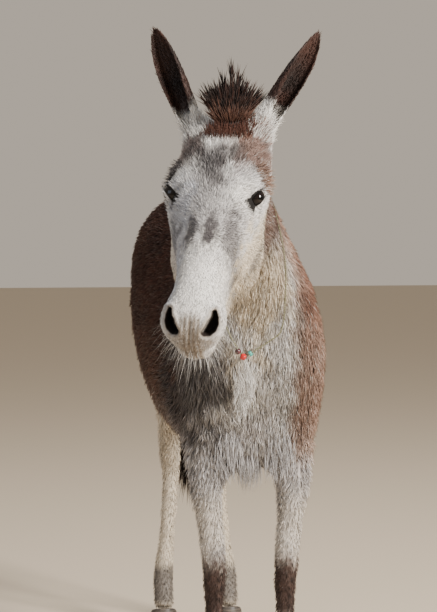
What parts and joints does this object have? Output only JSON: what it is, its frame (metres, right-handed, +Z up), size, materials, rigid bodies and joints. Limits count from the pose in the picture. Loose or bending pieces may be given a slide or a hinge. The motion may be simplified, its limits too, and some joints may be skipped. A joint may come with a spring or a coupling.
{
  "type": "donkey",
  "caption": "Life-size donkey in a shaggy grey and brown winter coat, standing square with its head turned slightly aside and a thin beaded cord round its neck; a still display figure.",
  "frame": {"origin": "on the ground, below the middle of the animal's bounding box", "axes": "+Z up; the donkey faces -Y; +X is its left side; Y runs along its length"},
  "size_m": [0.4386, 1.5814, 1.3698],
  "materials": {
    "coat": "long matte hair, grey roan, white, chestnut and dark brown by region",
    "dark_hair": "coarse dark brown hair",
    "eye": "wet, dark brown, opaque",
    "hoof": "dark horn, satin, with fine growth rings",
    "cord": "twisted olive cord",
    "bead_red": "polished",
    "bead_dark": "polished",
    "bead_turquoise": "polished"
  },
  "bodies": {
    "root": {"head": "coat", "neck": "coat", "trunk": "coat", "tail": "coat", "ear_left": "coat", "forearm_left": "coat", "fore_cannon_left": "coat", "thigh_left": "coat", "hind_cannon_left": "coat", "ear_right": "coat", "forearm_right": "coat", "fore_cannon_right": "coat", "thigh_right": "coat", "hind_cannon_right": "coat", "mane": "dark_hair", "forelock": "dark_hair", "tail_tuft": "dark_hair", "eye_left": "eye", "eye_right": "eye", "fore_hoof_left": "hoof", "hind_hoof_left": "hoof", "fore_hoof_right": "hoof", "hind_hoof_right": "hoof", "collar_cord": "cord", "bead_red": "bead_red", "bead_dark": "bead_dark", "bead_turquoise": "bead_turquoise"}
  },
  "joints": []
}
